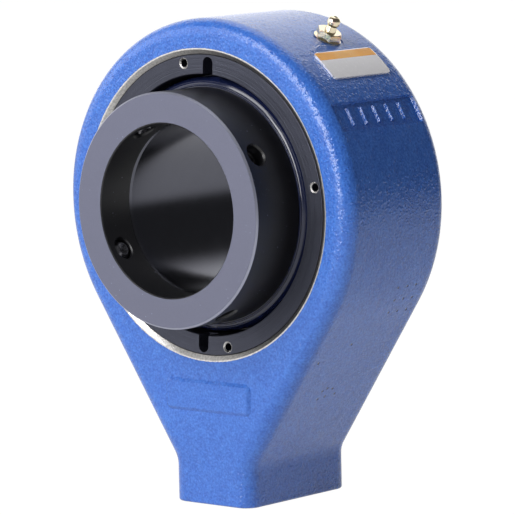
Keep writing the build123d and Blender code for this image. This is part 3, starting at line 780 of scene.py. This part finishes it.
@dataclass(frozen=True)
class Rubber(Finish):
    """Moulded nitrile rubber with a gloss."""

    tint: Colour = display(20, 27, 58)
    dark_share: float = 0.8
    light_share: float = 1.15
    rough: float = 0.13
    gloss_spread: float = 0.10
    gloss_index: float = 1.52
    dust: Grain = Grain(size=0.0012, layers=3.0, strength=0.6)
    wave: Grain = Grain(size=0.012)
    depth: float = 0.00006

    def shade(self, sheet: NodeSheet) -> Mapping[str, Value]:
        """Gives the rubber a faint unevenness.

        Args:
            sheet: The tree to place nodes on.

        Returns:
            The shader's inputs by name.
        """
        place = sheet.place()
        dust = sheet.noise(place, self.dust)
        dark = scaled(self.tint, self.dark_share)
        light = scaled(self.tint, self.light_share)
        return {
            "Base Color": sheet.blend(dust, dark, light),
            "Roughness": dust.spread(self.gloss_spread) + self.rough,
            "Normal": sheet.bump(sheet.noise(place, self.wave), self.depth),
            "IOR": self.gloss_index,
        }


@dataclass(frozen=True)
class Plating(Finish):
    """Yellow passivated zinc with its faint rainbow."""

    straw: Colour = (0.78, 0.69, 0.50)
    rose: Colour = (0.80, 0.55, 0.50)
    moss: Colour = (0.52, 0.60, 0.38)
    moss_end: float = 0.30
    straw_band: Pair = (0.46, 0.56)
    rose_start: float = 0.70
    drift: Grain = Grain(size=0.0045, layers=2.0, strength=0.6)
    scuff: Grain = Grain(size=0.0010, layers=3.0, strength=0.6)
    rough: float = 0.22
    gloss_spread: float = 0.16
    depth: float = 0.00002

    def shade(self, sheet: NodeSheet) -> Mapping[str, Value]:
        """Drifts between straw, rose and green.

        Args:
            sheet: The tree to place nodes on.

        Returns:
            The shader's inputs by name.
        """
        place = sheet.place()
        drift = sheet.noise(place, self.drift)
        scuff = sheet.noise(place, self.scuff)
        stops = (
            (self.moss_end, self.moss),
            (self.straw_band[0], self.straw),
            (self.straw_band[1], self.straw),
            (self.rose_start, self.rose),
        )
        return {
            "Base Color": sheet.node("ShaderNodeValToRGB", {"stops": stops}, {"Fac": drift})["Color"],
            "Metallic": 1.0,
            "Roughness": scuff.spread(self.gloss_spread) + self.rough,
            "Normal": sheet.bump(scuff, self.depth),
        }


@dataclass(frozen=True)
class PlateMetal(Finish):
    """Satin painted plate with an orange band along its upper edge."""

    silver: Colour = (0.95, 0.94, 0.97)
    silver_share: float = 0.90
    orange: Colour = (1.0, 0.42, 0.015)
    pale: Colour = (1.0, 0.50, 0.09)
    pale_cover: float = 0.8
    pale_reach: Pair = (0.004, 0.010)
    band_angle: float = math.radians(50.6)
    middle_angle: float = math.radians(48.6)
    rim_radius: float = 0.0808
    half_height: float = 0.0079
    half_length: float = 0.0191
    middle_y: float = 0.0034
    edge_width: float = 0.0004
    edge_metal: float = 0.6
    brushed: Grain = Grain(size=0.0012, layers=3.0, strength=0.6)
    rough: float = 0.26
    gloss_spread: float = 0.08
    depth: float = 0.00001

    def wear_and_painted_edge_highlight(self, along: Socket, angle: Socket) -> Socket:
        """Gives the plate's edges, where a highlight is painted.

        Args:
            along: The distance from the plate's middle along the shaft.
            angle: The angle round the rim.

        Returns:
            1 on an edge and 0 elsewhere.
        """
        across = abs(angle - self.middle_angle) * self.rim_radius
        ends = along > (self.half_length - self.edge_width)
        sides = across > (self.half_height - self.edge_width)
        return (ends + sides).limited()

    def shade(self, sheet: NodeSheet) -> Mapping[str, Value]:
        """Paints the band by the angle round the rim, and paints bright highlights on the plate's edges.

        Args:
            sheet: The tree to place nodes on.

        Returns:
            The shader's inputs by name.
        """
        spot = sheet.spot()
        angle = spot.z.angle(spot.x)
        along = abs(spot.y - self.middle_y)
        # Painted highlight: the edges lose the orange band and turn partly metallic silver.
        wear_and_painted_edge_highlight = self.wear_and_painted_edge_highlight(along, angle)
        band = (angle > self.band_angle) * (1.0 - wear_and_painted_edge_highlight)
        middle = 1.0 - along.ramp(*self.pale_reach)
        brushed = sheet.noise(spot.place, self.brushed)
        orange = sheet.blend(middle * self.pale_cover, self.orange, self.pale)
        silver = sheet.blend(brushed, scaled(self.silver, self.silver_share), self.silver)
        return {
            "Base Color": sheet.blend(band, silver, orange),
            "Metallic": wear_and_painted_edge_highlight * self.edge_metal,
            "Roughness": brushed.spread(self.gloss_spread) + self.rough,
            "Normal": sheet.bump(brushed, self.depth),
        }


BLUE_ENAMEL = CastPaint("blue_enamel_on_casting", "housing_paint")
COVER_OXIDE = CoverSteel(
    "cover_oxide",
    "cover_steel",
    tint=display(64, 66, 77),
    rough=0.32,
    metal=0.85,
    pitch=0.0005,
    depth=0.000170,
)
COLLAR_OXIDE = CollarSteel("collar_oxide", "collar_steel")
RING_STEEL = TurnedSteel(
    "ground_ring_steel",
    "ring_steel",
    tint=display(86, 87, 95),
    rough=0.20,
    metal=1.0,
    pitch=0.0004,
    depth=0.000004,
)
ROLLER_STEEL = TurnedSteel(
    "ground_roller_steel",
    "roller_steel",
    tint=display(178, 180, 186),
    rough=0.14,
    metal=1.0,
    pitch=0.0005,
    depth=0.000002,
)
CAGE_STEEL = TurnedSteel(
    "pressed_cage_steel",
    "cage_steel",
    tint=display(142, 138, 130),
    rough=0.36,
    metal=1.0,
    pitch=0.0010,
    depth=0.000006,
)
SCREW_STEEL = TurnedSteel(
    "black_screw_steel",
    "screw_steel",
    tint=display(128, 128, 134),
    rough=0.24,
    metal=0.9,
    pitch=0.0004,
    depth=0.000010,
)
SEAL_RUBBER = Rubber("moulded_nitrile", "seal_rubber")
YELLOW_ZINC = Plating("yellow_zinc", "nipple_plating")
PLATE_METAL = PlateMetal("banded_plate", "plate_metal")


class SubAssembly:
    """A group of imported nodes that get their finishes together."""

    finishes: Mapping[str, Finish] = {}

    def dress(self) -> None:
        """Puts each node's finish on its object."""
        for node, finish in self.finishes.items():
            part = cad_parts[node]
            part.data.materials.clear()
            part.data.materials.append(finish.material())
            LOG.info("%s has the finish %s", node, finish.name)

    def build(self) -> None:
        """Adds nothing unless the group has pieces of its own."""


@dataclass
class Housing(SubAssembly):
    """The cast housing with its nameplate."""

    finishes: Mapping[str, Finish] = field(
        default_factory=lambda: {"housing": BLUE_ENAMEL, "nameplate": PLATE_METAL}
    )


@dataclass
class Lathe:
    """Turns a profile about the shaft's axis."""

    steps: int = 160
    seed_size: float = 0.0002
    merge_reach: float = 0.000004
    smooth_angle: float = math.radians(50.0)

    def turn(self, name: str, profile: Sequence[Pair]) -> bpy.types.Object:
        """Extrudes a closed profile point by point and spins it.

        Args:
            name: The piece's name.
            profile: The profile's corners as place along the shaft and radius.

        Returns:
            The turned piece.
        """
        corners = [Vector((0.0, y, AXIS_HEIGHT + radius)) for y, radius in profile]
        bpy.ops.object.select_all(action="DESELECT")
        bpy.ops.mesh.primitive_plane_add(size=self.seed_size, location=corners[0])
        piece = bpy.context.object
        piece.name = name
        bpy.ops.object.transform_apply(location=True, rotation=True, scale=True)
        bpy.ops.object.mode_set(mode="EDIT")
        bpy.ops.mesh.select_all(action="SELECT")
        bpy.ops.mesh.merge(type="CENTER")
        here = corners[0]
        for corner in (*corners[1:], corners[0]):
            bpy.ops.mesh.extrude_region_move(TRANSFORM_OT_translate={"value": corner - here})
            here = corner
        bpy.ops.mesh.select_all(action="SELECT")
        bpy.ops.mesh.spin(
            steps=self.steps, angle=math.tau, center=(0.0, 0.0, AXIS_HEIGHT), axis=(0.0, 1.0, 0.0)
        )
        bpy.ops.mesh.select_all(action="SELECT")
        bpy.ops.mesh.remove_doubles(threshold=self.merge_reach)
        bpy.ops.mesh.normals_make_consistent(inside=False)
        bpy.ops.object.mode_set(mode="OBJECT")
        bpy.ops.object.shade_smooth_by_angle(angle=self.smooth_angle)
        return piece


@dataclass(frozen=True)
class Bead:
    """A round bead of the front seal: its name, place along the shaft, radius and half thickness."""

    name: str
    place: float
    radius: float
    half_thickness: float

    def profile(self, sides: int) -> Sequence[Pair]:
        """Gives the bead's round section.

        Args:
            sides: The number of sides of the section.

        Returns:
            The corners as place along the shaft and radius.
        """
        angles = [math.tau * side / sides for side in range(sides)]
        return [
            (self.place + self.half_thickness * math.cos(a), self.radius + self.half_thickness * math.sin(a))
            for a in angles
        ]


@dataclass
class FrontCover(SubAssembly):
    """The threaded cover and the seals, with the beads moulded on the front seal's shoulder."""

    bead_sides: int = 12
    beads: Sequence[Bead] = (
        Bead("seal_lip_bead", place=-0.03075, radius=0.05160, half_thickness=0.00046),
        Bead("seal_middle_bead", place=-0.02975, radius=0.05318, half_thickness=0.00030),
        Bead("seal_shoulder_bead", place=-0.02795, radius=0.05442, half_thickness=0.00034),
    )

    finishes: Mapping[str, Finish] = field(
        default_factory=lambda: {
            "threaded_cover": COVER_OXIDE,
            "front_seal": SEAL_RUBBER,
            "rear_seal": SEAL_RUBBER,
        }
    )

    def build(self) -> None:
        """Turns the beads that stand proud of the front seal's rounded shoulder."""
        lathe = Lathe()
        for ring in self.beads:
            bead = lathe.turn(ring.name, ring.profile(self.bead_sides))
            bead.data.materials.append(SEAL_RUBBER.material())
            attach(bead, Body.SHAFT.value)
            LOG.info("%s is turned and rides on %s", ring.name, Body.SHAFT.value)


@dataclass
class LockingCollar(SubAssembly):
    """The collar and its set screws."""

    set_screws: Sequence[str] = ("set_screw_1", "set_screw_2", "set_screw_3", "set_screw_4")

    def __post_init__(self) -> None:
        """Gives the collar and each screw its finish."""
        self.finishes = {"locking_collar": COLLAR_OXIDE, **{name: SCREW_STEEL for name in self.set_screws}}


@dataclass
class RollerInsert(SubAssembly):
    """The rings, rollers and cages."""

    finishes: Mapping[str, Finish] = field(
        default_factory=lambda: {
            "inner_ring": RING_STEEL,
            "outer_ring": RING_STEEL,
            "guide_ring": CAGE_STEEL,
            "front_rollers": ROLLER_STEEL,
            "rear_rollers": ROLLER_STEEL,
            "front_cage": CAGE_STEEL,
            "rear_cage": CAGE_STEEL,
        }
    )


@dataclass
class GreaseFitting(SubAssembly):
    """The grease nipple with its check valve."""

    finishes: Mapping[str, Finish] = field(
        default_factory=lambda: {
            "grease_nipple": YELLOW_ZINC,
            "nipple_ball": ROLLER_STEEL,
            "nipple_spring": CAGE_STEEL,
        }
    )


@dataclass(frozen=True)
class SoftBox:
    """A rectangular lamp that faces the bearing."""

    name: str
    direction: Place
    distance: float
    width: float
    height: float
    share: float

    def hang(self, aim: Vector) -> None:
        """Hangs the lamp so that a facing surface gets the stated share of plain light.

        Args:
            aim: The point that the lamp faces.
        """
        data = bpy.data.lights.new(self.name, "AREA")
        data.shape = "RECTANGLE"
        data.size = self.width
        data.size_y = self.height
        data.energy = math.pi**2 * self.distance**2 * self.share
        lamp = bpy.data.objects.new(self.name, data)
        bpy.context.scene.collection.objects.link(lamp)
        towards = Vector(self.direction).normalized()
        lamp.location = aim + towards * self.distance
        lamp.rotation_mode = "QUATERNION"
        lamp.rotation_quaternion = towards.to_track_quat("Z", "Y")
        LOG.info("lamp %s gives %.2f W", self.name, data.energy)


@dataclass(frozen=True)
class WorldCard:
    """A white card in the surround: where it starts and where it is full, in X, Y and Z."""

    across: Pair
    along: Pair
    up: Pair

    def seen(self, towards: Sequence[Socket]) -> Socket:
        """Gives the card in a direction.

        Args:
            towards: The three parts of the direction.

        Returns:
            1 on the card and 0 off it.
        """
        across, along, up = towards
        return across.ramp(*self.across) * along.ramp(*self.along) * up.ramp(*self.up)


@dataclass
class Studio:
    """A plain pale floor, soft lamps and a white surround."""

    floor_size: float = 8.0
    floor_drop: float = 0.0002
    floor_tint: Colour = (0.86, 0.86, 0.87)
    floor_white: float = 1.05
    camera_share: float = 0.95
    gloss_reach: Pair = (2.2, 0.5)
    gloss_near: float = 0.68
    gloss_far: float = 0.25
    ambient: float = 0.19
    card_level: float = 1.40
    dark_level: float = 0.10
    behind: WorldCard = WorldCard(across=(0.22, -0.22), along=(0.0, 0.4), up=(0.95, 0.70))
    beside: WorldCard = WorldCard(across=(0.05, -0.45), along=(0.1, -0.1), up=(0.75, 0.30))
    aim: Place = (0.0, 0.0, 0.10)
    lamps: Sequence[SoftBox] = (
        SoftBox("front_strip", (0.02, -0.95, 0.29), distance=1.00, width=0.32, height=0.60, share=0.60),
        SoftBox("upper_front_box", (-0.20, -0.70, 0.69), distance=1.00, width=0.50, height=0.30, share=0.34),
        SoftBox("left_card", (-0.80, -0.45, 0.35), distance=1.30, width=0.80, height=0.80, share=0.10),
        SoftBox("top_card", (-0.15, 0.30, 0.94), distance=1.30, width=0.90, height=0.70, share=0.18),
    )

    def floor(self) -> None:
        """Lays the floor, which renders white to the camera but keeps the shadow."""
        bpy.ops.object.select_all(action="DESELECT")
        bpy.ops.mesh.primitive_plane_add(size=self.floor_size, location=(0, 0, 0))
        plane = bpy.context.object
        plane.name = "studio_floor"
        plane.location.z = -self.floor_drop
        made = bpy.data.materials.new("pale_floor")
        made.use_nodes = True
        sheet = NodeSheet(made.node_tree)
        pale = sheet.node("ShaderNodeBsdfDiffuse", None, {"Color": self.floor_tint})
        white = sheet.node("ShaderNodeEmission", None, {"Color": WHITE, "Strength": self.floor_white})
        path = sheet.node("ShaderNodeLightPath")
        x, y, _ = sheet.split(sheet.node("ShaderNodeTexCoord")["Object"])
        near = (x * x + y * y).root().ramp(*self.gloss_reach)
        glossy = path["Is Glossy Ray"] * (near * self.gloss_near + self.gloss_far)
        seen = (path["Is Camera Ray"] * self.camera_share + glossy).limited()
        both = sheet.node("ShaderNodeMixShader", None, {0: seen, 1: pale["BSDF"], 2: white["Emission"]})
        sheet.node("ShaderNodeOutputMaterial", None, {"Surface": both["Shader"]})
        plane.data.materials.append(made)

    def surround(self) -> None:
        """Sets the world: white to the camera, and a card-like surround to gloss."""
        world = bpy.data.worlds.new("studio_surround")
        bpy.context.scene.world = world
        world.use_nodes = True
        sheet = NodeSheet(world.node_tree)
        towards = sheet.split(sheet.node("ShaderNodeTexCoord")["Generated"])
        both = (self.behind.seen(towards) + self.beside.seen(towards)).limited()
        cards = both * self.card_level + self.dark_level
        path = sheet.node("ShaderNodeLightPath")
        plain = sheet.between(path["Is Glossy Ray"], self.ambient, cards)
        seen = (path["Is Camera Ray"] + path["Is Transmission Ray"]).limited()
        level = sheet.between(seen, plain, 1.0)
        light = sheet.node("ShaderNodeBackground", None, {"Color": WHITE, "Strength": level})
        sheet.node("ShaderNodeOutputWorld", None, {"Surface": light["Background"]})

    def build(self) -> None:
        """Sets the floor, the surround and the lamps."""
        self.floor()
        self.surround()
        for lamp in self.lamps:
            lamp.hang(Vector(self.aim))
        bpy.context.scene.view_settings.view_transform = "Standard"


@dataclass
class PhotoCamera:
    """A long lens at the photograph's viewing angle."""

    azimuth: float = math.radians(40.38677)
    elevation: float = math.radians(6.91093)
    roll: float = math.radians(-1.23531)
    distance: float = 1.843306
    target: Place = (0.0008256, 0.0, 0.104403)
    frame_pixels: float = 515.0
    focal_pixels: float = 4232.31
    sensor_millimetres: float = 36.0
    near_clip: float = 0.05
    far_clip: float = 20.0

    def build(self) -> None:
        """Makes the camera and gives it to the scene."""
        data = bpy.data.cameras.new("photo_camera")
        data.sensor_width = self.sensor_millimetres
        data.lens = self.focal_pixels * self.sensor_millimetres / self.frame_pixels
        data.clip_start = self.near_clip
        data.clip_end = self.far_clip
        camera = bpy.data.objects.new("photo_camera", data)
        bpy.context.scene.collection.objects.link(camera)
        a, e, r = self.azimuth, self.elevation, self.roll
        back = Vector((math.sin(a) * math.cos(e), -math.cos(a) * math.cos(e), math.sin(e)))
        right = Vector((math.cos(a), math.sin(a), 0.0))
        up = back.cross(right)
        across = right * math.cos(r) + up * math.sin(r)
        upward = up * math.cos(r) - right * math.sin(r)
        turn = Matrix((across, upward, back)).transposed()
        camera.matrix_world = Matrix.Translation(Vector(self.target) + back * self.distance) @ turn.to_4x4()
        bpy.context.scene.camera = camera


def main() -> None:
    """Builds the scene in order."""
    logging.basicConfig(level=logging.INFO, format="%(message)s")
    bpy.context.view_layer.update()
    PhotoCamera().build()
    Studio().build()
    for part in (Housing(), FrontCover(), LockingCollar(), RollerInsert(), GreaseFitting()):
        part.dress()
        part.build()


if __name__ == "__main__":
    main()
